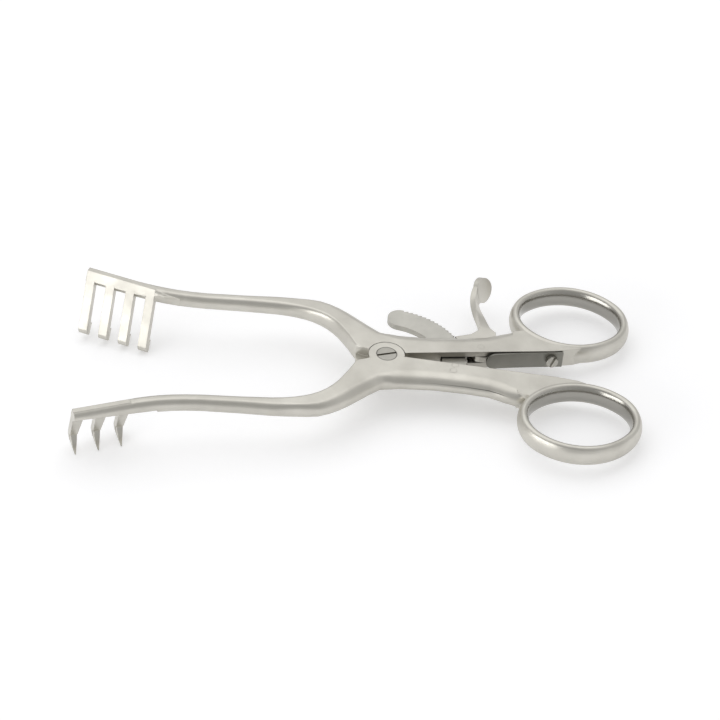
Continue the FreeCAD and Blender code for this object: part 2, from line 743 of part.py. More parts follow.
def ratchet_bar():
    """Curved rack about the pivot axis with saw teeth along its outer edge."""
    body = DOC.addObject("PartDesign::Body", "ratchet_bar")
    inner, outer = size("rack_inner_radius"), size("rack_outer_radius")
    root, tip = size("rack_root_angle"), size("rack_tip_angle")
    strip = body.newObject("Sketcher::SketchObject", "rack_strip")
    strip.AttachmentSupport = [(origin_plane(body, "XY_Plane"), "")]
    strip.MapMode = "FlatFace"
    centre = Vector()
    arc = Part.ArcOfCircle
    up = Vector(0, 0, 1)
    middle = (inner + outer) / 2
    strip.addGeometry(arc(Part.Circle(centre, up, outer), math.radians(root), math.radians(tip)), False)
    strip.addGeometry(arc(Part.Circle(polar(middle, tip), up, (outer - inner) / 2),
                          math.radians(tip), math.radians(tip + 180)), False)
    strip.addGeometry(arc(Part.Circle(centre, up, inner), math.radians(root), math.radians(tip)), False)
    strip.addGeometry(Part.LineSegment(polar(inner, root), polar(outer, root)), False)
    for first, end, second, start in ((0, 2, 1, 1), (1, 2, 2, 2), (2, 1, 3, 1), (3, 2, 0, 1)):
        strip.addConstraint(Sketcher.Constraint("Coincident", first, end, second, start))
    for curve in (0, 2):
        strip.addConstraint(Sketcher.Constraint("Coincident", curve, 3, -1, 1))
    for alias, curve in (("rack_outer_radius", 0), ("rack_inner_radius", 2)):
        number = strip.addConstraint(Sketcher.Constraint("Radius", curve, size(alias)))
        strip.renameConstraint(number, alias)
        strip.setExpression("Constraints." + alias, "sizes." + alias)
    DOC.recompute()
    pad = body.newObject("PartDesign::Pad", "rack_pad")
    pad.Profile = strip
    pad.Midplane = True
    pad.setExpression("Length", "sizes.rack_thickness")
    DOC.recompute()
    pitch = size("tooth_pitch_angle")
    depth = size("tooth_depth")
    first = tip - 1.0
    notch = body.newObject("Sketcher::SketchObject", "tooth_gap")
    notch.AttachmentSupport = [(origin_plane(body, "XY_Plane"), "")]
    notch.MapMode = "FlatFace"
    corners = [
        polar(outer + 0.4, first),
        polar(outer - depth, first),
        polar(outer, first - pitch * 0.92),
        polar(outer + 0.4, first - pitch * 0.95),
    ]
    for start, end in zip(corners, corners[1:] + corners[:1]):
        notch.addGeometry(Part.LineSegment(start, end), False)
    for line in range(4):
        notch.addConstraint(Sketcher.Constraint("Coincident", line, 2, (line + 1) % 4, 1))
    DOC.recompute()
    gap = body.newObject("PartDesign::Pocket", "tooth_cut")
    gap.Profile = notch
    gap.Midplane = True
    gap.setExpression("Length", "sizes.rack_thickness * 2")
    DOC.recompute()
    teeth = body.newObject("PartDesign::PolarPattern", "teeth")
    teeth.Originals = [gap]
    teeth.Axis = (notch, ["N_Axis"])
    teeth.Reversed = True
    teeth.setExpression("Angle", "sizes.tooth_pitch_angle * (sizes.tooth_count - 1)")
    teeth.setExpression("Occurrences", "sizes.tooth_count")
    body.Tip = teeth
    DOC.recompute()
    spots = body.newObject("Sketcher::SketchObject", "rack_pin_spots")
    spots.AttachmentSupport = [(origin_plane(body, "XY_Plane"), "")]
    spots.MapMode = "FlatFace"
    for number, spot in enumerate(rack_pin_spots()):
        spots.addGeometry(Part.Circle(spot, up, size("rack_pin_diameter") / 2), False)
        radius = spots.addConstraint(Sketcher.Constraint("Radius", number, 1.0))
        spots.renameConstraint(radius, "hole_%d" % number)
        spots.setExpression("Constraints.hole_%d" % number, "sizes.rack_pin_diameter / 2 + sizes.seat_gap")
    DOC.recompute()
    holes = body.newObject("PartDesign::Pocket", "rack_pin_holes")
    holes.Profile = spots
    holes.Midplane = True
    holes.setExpression("Length", "sizes.rack_thickness * 2")
    holes.BaseFeature = teeth
    body.Tip = holes
    DOC.recompute()
    return body, Placement()


# Release lever

def lever_section(x, y, heading, half_width, thickness, twist):
    """One rectangular cross-section of the lever, turned about its own run."""
    along = Rotation(Vector(0, 0, 1), -heading)
    turn = Placement(Vector(x, y, 0), along.multiply(Rotation(Vector(0, 1, 0), twist)))
    half = thickness / 2
    corners = [(-half_width, half), (half_width, half), (half_width, -half), (-half_width, -half)]
    points = [turn.multVec(Vector(a, 0, b)) for a, b in corners]
    return Part.makePolygon(points + points[:1])


def lever_tab():
    """Oval thumb plate, slightly dished towards the finger ring."""
    length, height = size("tab_half_length"), size("tab_half_height")
    thick = size("tab_thickness")
    rim = Part.Ellipse(Vector(), max(length, height), min(length, height)).toShape()
    if height > length:
        rim.rotate(Vector(), Vector(0, 0, 1), 90)
    prism = Part.Face(Part.Wire([rim])).extrude(Vector(0, 0, TAB_DISH))
    prism.translate(Vector(0, 0, -TAB_DISH / 2))
    tall = Vector(0, 1, 0)
    start = Vector(0, -TAB_DISH, TAB_DISH)
    shell = Part.makeCylinder(TAB_DISH + thick / 2, 2 * TAB_DISH, start, tall)
    shell = shell.cut(Part.makeCylinder(TAB_DISH - thick / 2, 2 * TAB_DISH, start, tall))
    plate = prism.common(shell)
    across = Rotation(Vector(0, 0, 1), -size("tab_turn"))
    twist = across.multiply(Rotation(Vector(0, 1, 0), size("tab_twist")))
    # local axes of the tab: length along the run, height across it, thickness last
    local = Rotation(Vector(0, 1, 0), Vector(-1, 0, 0), Vector(0, 0, 1), "ZXY")
    plate.Placement = Placement(
        Vector(size("tab_centre_x"), size("tab_centre_y"), 0), twist.multiply(local))
    return plate


def release_lever():
    """Pawl, pivot plate and tail in the slot, with a twisted neck and a thumb tab."""
    thick = size("lever_thickness")
    half = thick / 2
    pin_x, pin_y = size("lever_pin_x"), size("lever_pin_y")
    reach = size("rack_outer_radius") + size("pawl_gap")
    nose = [polar(reach, angle) for angle in (31, 27.5, 24)]
    lead = [(pin_x - 1.6, pin_y - 2.2), (pin_x + 1.6, pin_y - 2.6)]
    tail = [(pin_x + 3.6, inner_edge_y(pin_x + 3.6) - 0.3), (pin_x + 5.4, inner_edge_y(pin_x + 5.4) - 0.1)]
    outer = [(33.6, 10.0), (33.3, 15.6), (31.6, 17.6), (29.2, 17.4), (25.8, 14.2)]
    outline = [(spot.x, spot.y) for spot in nose] + lead + tail + outer
    plate = slab(outline, -half, half)
    sections = [
        lever_section(30.4, 15.2, 0, 2.4, thick, 0),
        lever_section(29.8, 18.6, -8, 1.45, thick, 6),
        lever_section(28.8, 22.8, -12, 1.25, thick, 25),
        lever_section(27.9, 27.0, -8, 1.25, thick * 0.95, 45),
        lever_section(27.6, 31.0, 8, 1.5, thick * 0.9, 62),
        lever_section(28.4, 34.5, 25, 2.6, thick * 0.8, size("tab_twist")),
        lever_section(29.2, 36.0, 33, 3.0, thick * 0.7, size("tab_twist")),
    ]
    neck = Part.makeLoft(sections, True, False)
    lever = plate.fuse([neck, lever_tab()])
    hole = size("lever_pin_diameter") / 2 + size("running_gap")
    return lever.cut(disc(hole, -CLEAR_HEIGHT, CLEAR_HEIGHT, pin_x, pin_y))


# Leaf spring

def leaf_spring():
    """Flat leaf on the upper handle's inner face, standing off it at its free end."""
    thick = size("spring_thickness")
    seat = spring_screw_placement(size("spring_seat_x"))
    gap = size("seat_gap")
    forward = (size("spring_end_x") - size("spring_seat_x")) / math.cos(math.radians(size("inner_edge_angle")))
    back = (size("spring_seat_x") - size("spring_start_x")) / math.cos(math.radians(size("inner_edge_angle")))
    lift = size("spring_lift")
    near_face = [Vector(-back, 0, gap + lift), Vector(-back * 0.5, 0, gap + lift * 0.25), Vector(0, 0, gap)]
    far_face = [point + Vector(0, 0, thick) for point in near_face]
    edges = [
        arc_edge(*near_face),
        Part.makeLine(near_face[-1], Vector(forward, 0, gap)),
        Part.makeLine(Vector(forward, 0, gap), Vector(forward, 0, gap + thick)),
        Part.makeLine(Vector(forward, 0, gap + thick), far_face[-1]),
        arc_edge(far_face[2], far_face[1], far_face[0]),
        Part.makeLine(far_face[0], near_face[0]),
    ]
    half = size("spring_height") / 2
    leaf = Part.Face(Part.Wire(edges)).extrude(Vector(0, 2 * half, 0))
    leaf.translate(Vector(0, -half, 0))
    radius = half * 0.9
    window = Part.makeBox(back - radius + forward + 1, 2 * half, 6, Vector(-back + radius, -half, -2))
    window = window.fuse(Part.makeCylinder(half, 6, Vector(-back + half, 0, -2)))
    leaf = leaf.common(window)
    angle = math.cos(math.radians(size("inner_edge_angle")))
    hole_x = (size("spring_screw_x") - size("spring_seat_x")) / angle
    hole = Part.makeCylinder(size("spring_screw_shank_diameter") / 2 + gap, 6, Vector(hole_x, 0, -2))
    leaf = leaf.cut(hole)
    leaf.Placement = seat
    return leaf


# Assembly

def shaped(name, shape):
    """A document object that holds one solid made above."""
    item = DOC.addObject("Part::Feature", name)
    item.Shape = shape
    return item, Placement()


PIECES = [
    shaped("upper_arm", far_arm()),
    shaped("lower_arm", near_arm()),
    pivot_screw(),
    ratchet_bar(),
    ratchet_pins(),
    shaped("release_lever", release_lever()),
    lever_pin(),
    shaped("leaf_spring", leaf_spring()),
    spring_screw(),
]


def resting_frame():
    """How the instrument lies on a table: tilted onto its prong tips and ring undersides."""
    ring_end = size("ring_centre_x") + size("ring_half_length")
    ring_low = size("ring_section_height") / 2
    rise = size("rake_depth") - ring_low
    tilt = math.degrees(math.atan2(rise, ring_end + size("far_blade_reach")))
    turn = Rotation(Vector(0, 1, 0), tilt)
    box = FreeCAD.BoundBox()
    for item, place in PIECES:
        shape = item.Shape.copy()
        shape.Placement = Placement(Vector(), turn).multiply(place).multiply(shape.Placement if place.isIdentity() else Placement())
        box.add(shape.optimalBoundingBox(False, False))
    return Placement(Vector(-box.Center.x, -box.Center.y, -box.ZMin), turn)


frame = resting_frame()
for item, place in PIECES:
    item.Label = item.Name
    inner = item.Placement if place.isIdentity() else Placement()
    item.Placement = frame.multiply(place).multiply(inner)
DOC.recompute()

for item in DOC.Objects:
    faults = [state for state in item.State if state in ("Invalid", "Error")]
    if faults:
        raise RuntimeError("%s is %s" % (item.Label, faults))
os.makedirs("parts", exist_ok=True)
for item, place in PIECES:
    shape = item.Shape
    if shape.isNull() or not shape.isValid():
        raise RuntimeError("%s has no valid shape" % item.Label)
for item, place in PIECES:
    item.Shape.exportStep(os.path.join("parts", item.Label + ".step"))
    box = item.Shape.BoundBox
    print("%-14s solids %d volume %9.2f  z %.2f to %.2f" % (
        item.Label, len(item.Shape.Solids), item.Shape.Volume, box.ZMin, box.ZMax))
print("pivot at", frame.Base, "tilt", math.degrees(frame.Rotation.Angle))
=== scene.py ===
import json
import math

import bmesh
import bpy
from mathutils import Matrix, Vector


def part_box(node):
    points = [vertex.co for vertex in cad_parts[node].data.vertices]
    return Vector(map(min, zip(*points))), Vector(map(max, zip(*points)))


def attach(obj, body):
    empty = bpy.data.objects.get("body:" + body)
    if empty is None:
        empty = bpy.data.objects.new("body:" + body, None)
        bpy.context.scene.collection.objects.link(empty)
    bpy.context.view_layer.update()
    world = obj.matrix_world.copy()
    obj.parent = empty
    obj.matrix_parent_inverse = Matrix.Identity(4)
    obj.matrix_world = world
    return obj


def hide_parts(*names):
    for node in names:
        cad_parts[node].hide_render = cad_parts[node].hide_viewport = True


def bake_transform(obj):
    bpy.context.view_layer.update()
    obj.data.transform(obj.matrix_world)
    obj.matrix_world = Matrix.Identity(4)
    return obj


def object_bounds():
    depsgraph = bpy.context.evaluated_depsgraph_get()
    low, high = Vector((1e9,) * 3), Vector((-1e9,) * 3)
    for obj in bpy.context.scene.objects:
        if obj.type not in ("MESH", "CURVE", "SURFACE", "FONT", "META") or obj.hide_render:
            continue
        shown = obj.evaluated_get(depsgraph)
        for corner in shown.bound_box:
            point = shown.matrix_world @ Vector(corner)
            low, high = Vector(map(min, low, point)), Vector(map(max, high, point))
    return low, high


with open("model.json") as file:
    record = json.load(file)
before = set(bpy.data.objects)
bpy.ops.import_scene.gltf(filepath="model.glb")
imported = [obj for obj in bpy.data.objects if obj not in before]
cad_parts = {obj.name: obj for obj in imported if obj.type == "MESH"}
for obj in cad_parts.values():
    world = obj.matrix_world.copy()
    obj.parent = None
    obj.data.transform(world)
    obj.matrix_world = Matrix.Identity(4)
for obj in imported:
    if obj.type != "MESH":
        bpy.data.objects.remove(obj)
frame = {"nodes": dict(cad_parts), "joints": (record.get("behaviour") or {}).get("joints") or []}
CAD_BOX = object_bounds()

bl_info = {
    "name": "Self retaining retractor",
    "version": (1, 0, 0),
    "blender": (4, 5, 0),
    "location": "View3D > Sidebar > Retractor",
    "description": "Satin steel retractor with its studio stage, dressed piece by piece",
    "category": "Object",
}

# The instrument's own frame: origin at the pivot, X along the handles, Z along the pivot's axis.
# It lies tilted about its cross axis.
PIVOT = next(joint for joint in frame["joints"] if joint["name"] == "arm_pivot")
TILT = math.atan2(PIVOT["axis"][0], PIVOT["axis"][2])
INSTRUMENT = Matrix.Translation(Vector(PIVOT["pos_m"])) @ Matrix.Rotation(TILT, 4, "Y")

# All places below are in the instrument's own frame, in metres, unless they say otherwise.

# Camera, with its lens and sensor in millimetres.
CAMERA_PLACE = Vector((-0.04328, -0.54183, 0.44681))
CAMERA_RIGHT = Vector((0.99694, -0.00102, 0.07817))
CAMERA_UP = Vector((-0.05958, 0.63740, 0.76819))
CAMERA_LENS = 118.85
CAMERA_SENSOR = 36.0
CAMERA_CLIP = (0.01, 50.0)

# Finger rings: centre, turn in its plane, half sizes of the hole, and the soft end of its polish
# and of the painted dark reflection laid over it, in half sizes.
RING_CENTRE = (0.0561, 0.02284)
RING_TURN = math.radians(4.96)
RING_HOLE = (0.01481, 0.01214)
RING_POLISH = (1.12, 1.0)

# Painted shade: a dark line along the crease on the handles' outer sides, as pairs of the ends of
# its soft edges.
LINE_LOW = (0.00112, 0.00122)
LINE_HIGH = (0.00142, 0.00132)
LINE_INSIDE = (0.0085, 0.0090)
LINE_OUTSIDE = (0.0145, 0.0135)
LINE_START = (0.010, 0.030)
LINE_END = (0.0375, 0.036)
SHADE_LINE_DARKNESS = 0.25

# Painted shadow in the gap round the pivot screw's head: reach from the axis and least height.
SEAT_INSIDE = (0.00286, 0.00290)
SEAT_OUTSIDE = (0.00318, 0.00308)
SEAT_HEIGHT = (0.0028, 0.0029)

# Painted shade from the gap between the handles, on their flat milled inner faces: a point on their
# line, its angle, and the soft ends.
FACE_CORNER = (0.0053, 0.0009)
FACE_ANGLE = math.radians(6.46)
FACE_DEPTH = (0.00012, 0.00006)
FACE_START = (0.0060, 0.0066)
FACE_END = (0.0600, 0.0570)

# Steel: clouds per metre, relief, edge samples, and the shares of shade, softness and roughness.
CLOUD_SCALE = 110.0
CLOUD_SPREAD = (0.32, 0.68)
RELIEF_DEPTH = 0.00003
EDGE_SAMPLES = 4
PIT_STRENGTH = 0.35
GROUND_SHADE = 0.8
GROUND_SOFTNESS = 0.6
ROUGHNESS_SPREAD = (0.88, 1.12)

# Ground steels: name, colour property, roughness, turn of the lines, lines per metre, strength.
GROUND_STEELS = (
    ("rack_steel_ground", "rack_colour", 0.34, 0.0, (400.0, 400.0, 6500.0), 0.3),
    ("screw_steel_turned", "screw_colour", 0.3, 0.0, (3200.0, 3200.0, 900.0), 0.25),
    # The leaf spring's colour is its steel colour darkened as painted shade for the gap between the
    # handles.
    ("spring_steel_blued", "spring_shaded_colour", 0.38, -FACE_ANGLE, (160.0, 6000.0, 5200.0), 0.35),
)

# Meshes: least angle of a crease, widest gap that is closed, and largest angle still taken as flat.
CREASE = math.radians(32.0)
MERGE_GAP = 1e-6
CUT_GAP = 1e-7
FLAT_ANGLE = math.radians(0.2)
FACE_WEIGHT = 50

# Lamps in the world's directions from the pivot, with their widths and heights.
KEY_OFFSET = Vector((-0.15, 0.35, 0.95))
KEY_SIZE = (1.3, 1.1)
FRONT_OFFSET = Vector((-0.90, -0.66, 0.28))
FRONT_SIZE = (1.0, 0.4)

# Room: the direction of the dim side in the world, and steps of place and share of the level.
ROOM_DIM_SIDE = Vector((-0.05, -0.80, 0.60))
ROOM_STEPS = ((0.0, 0.92), (0.5, 0.95), (0.8, 0.72), (1.0, 0.62))

# Drop of the floor below the instrument, which keeps the two from touching, in metres.
FLOOR_DROP = 0.00002


# Sizes and colours

class RetractorFinish(bpy.types.PropertyGroup):
    steel_colour: bpy.props.FloatVectorProperty(
        name="Steel colour", description="Colour of the satin steel arms and lever",
        subtype="COLOR", size=3, min=0.0, max=1.0, default=(0.63, 0.612, 0.557))
    steel_shade: bpy.props.FloatVectorProperty(
        name="Steel shade", description="Colour of the duller patches in the satin steel",
        subtype="COLOR", size=3, min=0.0, max=1.0, default=(0.55, 0.532, 0.482))
    satin_roughness: bpy.props.FloatProperty(
        name="Satin roughness", description="Roughness of the bead-blasted faces",
        subtype="FACTOR", min=0.05, max=1.0, default=0.36)
    polish_roughness: bpy.props.FloatProperty(
        name="Polish roughness", description="Roughness of the finger rings' inner faces",
        subtype="FACTOR", min=0.02, max=1.0, default=0.15)
    # Painted dark reflection: a darker colour on the polished inner faces of the finger rings.
    ring_dark_reflection_colour: bpy.props.FloatVectorProperty(
        name="Polish colour", description="Colour of the polished inner faces of the finger rings",
        subtype="COLOR", size=3, min=0.0, max=1.0, default=(0.36, 0.35, 0.322))
    # Painted shade on the handles' flat milled inner faces, in the gap between the handles.
    inner_face_shade_colour: bpy.props.FloatVectorProperty(
        name="Milled colour", description="Colour of the handles' flat milled inner faces",
        subtype="COLOR", size=3, min=0.0, max=1.0, default=(0.46, 0.444, 0.400))
    rack_colour: bpy.props.FloatVectorProperty(
        name="Rack colour", description="Colour of the curved rack",
        subtype="COLOR", size=3, min=0.0, max=1.0, default=(0.56, 0.548, 0.502))
    screw_colour: bpy.props.FloatVectorProperty(
        name="Screw colour", description="Colour of the turned screws",
        subtype="COLOR", size=3, min=0.0, max=1.0, default=(0.48, 0.467, 0.424))
    # Painted shade: the leaf spring's colour is darkened for the gap between the handles where it
    # sits.
    spring_shaded_colour: bpy.props.FloatVectorProperty(
        name="Spring colour", description="Colour of the leaf spring",
        subtype="COLOR", size=3, min=0.0, max=1.0, default=(0.26, 0.255, 0.228))
    grain_size: bpy.props.FloatProperty(
        name="Grain size", description="Size of one blasted pit in the satin steel",
        subtype="DISTANCE", unit="LENGTH", min=0.00002, max=0.002, default=0.00016)
    edge_softness: bpy.props.FloatProperty(
        name="Edge softness", description="Radius of the rubbed-down edges",
        subtype="DISTANCE", unit="LENGTH", min=0.0, max=0.001, default=0.00022)


class LeafSpringSizes(bpy.types.PropertyGroup):
    bands: bpy.props.IntProperty(
        name="Bands", description="Number of bending bands along the leaf",
        min=4, max=80, default=28)
    seat_x: bpy.props.FloatProperty(
        name="Seat",
        description="Where the leaf leaves its seat, along the instrument from the pivot",
        subtype="DISTANCE", unit="LENGTH", min=0.03, max=0.06, default=0.0452)
    free_x: bpy.props.FloatProperty(
        name="Free end",
        description="Where the leaf rests on the lever, along the instrument from the pivot",
        subtype="DISTANCE", unit="LENGTH", min=0.02, max=0.05, default=0.0302)


class StudioStage(bpy.types.PropertyGroup):
    floor_colour: bpy.props.FloatVectorProperty(
        name="Floor colour", description="Colour of the paper under the instrument",
        subtype="COLOR", size=3, min=0.0, max=1.0, default=(0.84, 0.84, 0.85))
    floor_glow: bpy.props.FloatProperty(
        name="Floor glow",
        description="Strength that brings the paper up to white where it is seen",
        min=0.0, max=1.0, default=0.30)
    floor_width: bpy.props.FloatProperty(
        name="Floor width", description="Width of the square sheet of paper",
        subtype="DISTANCE", unit="LENGTH", min=0.5, max=10.0, default=6.0)
    key_power: bpy.props.FloatProperty(
        name="Key power", description="Power of the large soft lamp behind and above",
        subtype="POWER", unit="POWER", min=0.0, max=100.0, default=2.8)
    front_power: bpy.props.FloatProperty(
        name="Front power", description="Power of the low soft lamp in front",
        subtype="POWER", unit="POWER", min=0.0, max=100.0, default=3.2)
    room_level: bpy.props.FloatProperty(
        name="Room level", description="Strength of the light from the room",
        min=0.0, max=2.0, default=0.76)


# Making of materials

def add(tree, kind, **values):
    """A shader node with its options and the plain values of its named inputs."""
    node = tree.nodes.new(kind)
    for name, value in values.items():
        if hasattr(node, name):
            setattr(node, name, value)
        else:
            node.inputs[name.replace("_", " ")].default_value = value
    return node


def group_with(name, inputs, outputs):
    """An empty node group with named sockets, and its two end nodes."""
    tree = bpy.data.node_groups.new(name, "ShaderNodeTree")
    for label, kind, value in inputs:
        socket = tree.interface.new_socket(name=label, in_out="INPUT", socket_type=kind)
        if value is not None:
            socket.default_value = value
    for label in outputs:
        tree.interface.new_socket(name=label, in_out="OUTPUT", socket_type="NodeSocketFloat")
    return tree, tree.nodes.new("NodeGroupInput"), tree.nodes.new("NodeGroupOutput")


def placed_group(tree, name, place, **values):
    """A node group by its name, fed with the place on the piece and plain values."""
    group = tree.nodes.new("ShaderNodeGroup")
    group.node_tree = bpy.data.node_groups[name]
    tree.links.new(place, group.inputs["Place"])
    for label, value in values.items():
        group.inputs[label.replace("_", " ")].default_value = value
    return group


def combined(tree, operation, first, *others):
    """Values joined one after another by the same operation."""
    result = first
    for other in others:
        both = add(tree, "ShaderNodeMath", operation=operation)
        tree.links.new(result, both.inputs[0])
        tree.links.new(other, both.inputs[1])
        result = both.outputs["Value"]
    return result


def limit(tree, value, ends):
    """Nought where a value is at the first end, one at the second, and a ramp between."""
    ramp = add(tree, "ShaderNodeMapRange", clamp=True, From_Min=ends[0], From_Max=ends[1])
    tree.links.new(value, ramp.inputs["Value"])
    return ramp.outputs["Result"]


def local_place(tree, start):
    """The place on the piece, seen from a group's Centre and Turn."""
    local = add(tree, "ShaderNodeMapping", vector_type="TEXTURE")
    tree.links.new(start.outputs["Place"], local.inputs["Vector"])
    tree.links.new(start.outputs["Centre"], local.inputs["Location"])
    tree.links.new(start.outputs["Turn"], local.inputs["Rotation"])
    return local


def flat_reach(tree, place):
    """Distance of a place from its Z axis."""
    flat = add(tree, "ShaderNodeVectorMath", operation="MULTIPLY")
    flat.inputs[1].default_value = (1.0, 1.0, 0.0)
    tree.links.new(place, flat.inputs[0])
    reach = add(tree, "ShaderNodeVectorMath", operation="LENGTH")
    tree.links.new(flat.outputs["Vector"], reach.inputs[0])
    return reach.outputs["Value"]


def blasted_grain_group():
    """Fine pits of the bead blasting, and the slow clouding of its shade."""
    tree, start, end = group_with(
        "blasted_grain",
        [("Place", "NodeSocketVector", None), ("Pit scale", "NodeSocketFloat", 6000.0),
         ("Cloud scale", "NodeSocketFloat", 90.0)],
        ["Pits", "Clouds"])
    link = tree.links.new
    pits = add(tree, "ShaderNodeTexNoise", Detail=2.0, Roughness=0.6)
    link(start.outputs["Place"], pits.inputs["Vector"])
    link(start.outputs["Pit scale"], pits.inputs["Scale"])
    link(pits.outputs["Fac"], end.inputs["Pits"])
    clouds = add(tree, "ShaderNodeTexNoise", Detail=4.0, Roughness=0.55)
    link(start.outputs["Place"], clouds.inputs["Vector"])
    link(start.outputs["Cloud scale"], clouds.inputs["Scale"])
    link(limit(tree, clouds.outputs["Fac"], CLOUD_SPREAD), end.inputs["Clouds"])


def grinding_group():
    """Hair lines of a grinding belt, long one way and close together the other."""
    tree, start, end = group_with(
        "grinding_lines",
        [("Place", "NodeSocketVector", None), ("Turn", "NodeSocketVector", (0.0, 0.0, 0.0)),
         ("Line scale", "NodeSocketVector", (120.0, 5200.0, 5200.0))],
        ["Lines"])
    link = tree.links.new
    turned = add(tree, "ShaderNodeMapping", vector_type="POINT")
    link(start.outputs["Place"], turned.inputs["Vector"])
    link(start.outputs["Turn"], turned.inputs["Rotation"])
    link(start.outputs["Line scale"], turned.inputs["Scale"])
    lines = add(tree, "ShaderNodeTexNoise", Scale=1.0, Detail=3.0, Roughness=0.65)
    link(turned.outputs["Vector"], lines.inputs["Vector"])
    link(lines.outputs["Fac"], end.inputs["Lines"])


def ring_polish_group():
    """Mask of the inner face of one finger ring, from the oval of its hole."""
    tree, start, end = group_with(
        "ring_polish",
        [("Place", "NodeSocketVector", None), ("Centre", "NodeSocketVector", (0.0, 0.0, 0.0)),
         ("Turn", "NodeSocketVector", (0.0, 0.0, 0.0)),
         ("Hole", "NodeSocketVector", (0.01, 0.01, 1.0))],
        ["Mask"])
    local = local_place(tree, start)
    tree.links.new(start.outputs["Hole"], local.inputs["Scale"])
    mask = add(tree, "ShaderNodeMapRange", clamp=True, interpolation_type="SMOOTHSTEP",
               From_Min=RING_POLISH[0], From_Max=RING_POLISH[1])
    tree.links.new(flat_reach(tree, local.outputs["Vector"]), mask.inputs["Value"])
    tree.links.new(mask.outputs["Result"], end.inputs["Mask"])


def painted_shade_lines_group():
    """Masks of painted shade: a dark line along the crease of the outer sides, a shadow round the
    screw head, and shade on the flat milled inner faces.
    """
    tree, start, end = group_with(
        "work_lines",
        [("Place", "NodeSocketVector", None), ("Centre", "NodeSocketVector", (0.0, 0.0, 0.0)),
         ("Turn", "NodeSocketVector", (0.0, 0.0, 0.0))],
        ["Line", "Milled"])
    link = tree.links.new
    local = local_place(tree, start)
    parts = tree.nodes.new("ShaderNodeSeparateXYZ")
    link(local.outputs["Vector"], parts.inputs["Vector"])
    along, height = parts.outputs["X"], parts.outputs["Z"]
    aside = add(tree, "ShaderNodeMath", operation="ABSOLUTE")
    link(parts.outputs["Y"], aside.inputs[0])
    across = aside.outputs["Value"]

    # Painted shade: a dark line along the crease on the handles' outer sides.
    line = combined(tree, "MULTIPLY", limit(tree, height, LINE_LOW), limit(tree, height, LINE_HIGH),
                    limit(tree, across, LINE_INSIDE), limit(tree, across, LINE_OUTSIDE),
                    limit(tree, along, LINE_START), limit(tree, along, LINE_END))
    # Painted shadow in the gap round the pivot screw's head.
    reach = flat_reach(tree, local.outputs["Vector"])
    seat = combined(tree, "MULTIPLY", limit(tree, reach, SEAT_INSIDE),
                    limit(tree, reach, SEAT_OUTSIDE), limit(tree, height, SEAT_HEIGHT))
    link(combined(tree, "MAXIMUM", line, seat), end.inputs["Line"])

    # Painted shade on the flat milled inner faces, between the handles.
    slope = math.tan(FACE_ANGLE)
    rise = add(tree, "ShaderNodeMath", operation="MULTIPLY_ADD")
    rise.inputs[1].default_value = -slope
    rise.inputs[2].default_value = FACE_CORNER[0] * slope - FACE_CORNER[1]
    link(along, rise.inputs[0])
    off_face = combined(tree, "ADD", across, rise.outputs["Value"])
    milled = combined(tree, "MULTIPLY", limit(tree, off_face, FACE_DEPTH),
                      limit(tree, along, FACE_START), limit(tree, along, FACE_END))
    link(milled, end.inputs["Milled"])


def metal(name, colour, shade, roughness):
    """Steel with clouded colour and roughness: its tree, shader, place on the piece and grain."""
    material = bpy.data.materials.new(name)
    material.use_nodes = True
    tree = material.node_tree
    shader = tree.nodes["Principled BSDF"]
    shader.inputs["Metallic"].default_value = 1.0
    place = tree.nodes.new("ShaderNodeTexCoord").outputs["Object"]
    grain = placed_group(tree, "blasted_grain", place)
    tone = add(tree, "ShaderNodeMix", data_type="RGBA")
    factor, low, high = tone.inputs[0], tone.inputs[6], tone.inputs[7]
    low.default_value = tuple(colour) + (1.0,)
    high.default_value = tuple(shade) + (1.0,)
    tree.links.new(grain.outputs["Clouds"], factor)
    tree.links.new(tone.outputs[2], shader.inputs["Base Color"])
    rough = add(tree, "ShaderNodeMapRange", clamp=True, To_Min=roughness * ROUGHNESS_SPREAD[0],
                To_Max=roughness * ROUGHNESS_SPREAD[1])
    tree.links.new(grain.outputs["Clouds"], rough.inputs["Value"])
    tree.links.new(rough.outputs["Result"], shader.inputs["Roughness"])
    return tree, shader, place, grain


def tinted(tree, factor, below, colour):
    """A colour laid over another where a mask says."""
    over = add(tree, "ShaderNodeMix", data_type="RGBA")
    over.inputs[7].default_value = tuple(colour) + (1.0,)
    tree.links.new(factor, over.inputs[0])
    tree.links.new(below, over.inputs[6])
    return over.outputs[2]


def bumped(tree, shader, height, strength, softness):
    """Relief of a height pattern on rubbed-down edges, fed to the shader's normal."""
    edge = add(tree, "ShaderNodeBevel", samples=EDGE_SAMPLES, Radius=softness)
    bump = add(tree, "ShaderNodeBump", Strength=strength, Distance=RELIEF_DEPTH)
    tree.links.new(edge.outputs["Normal"], bump.inputs["Normal"])
    tree.links.new(height, bump.inputs["Height"])
    tree.links.new(bump.outputs["Normal"], shader.inputs["Normal"])


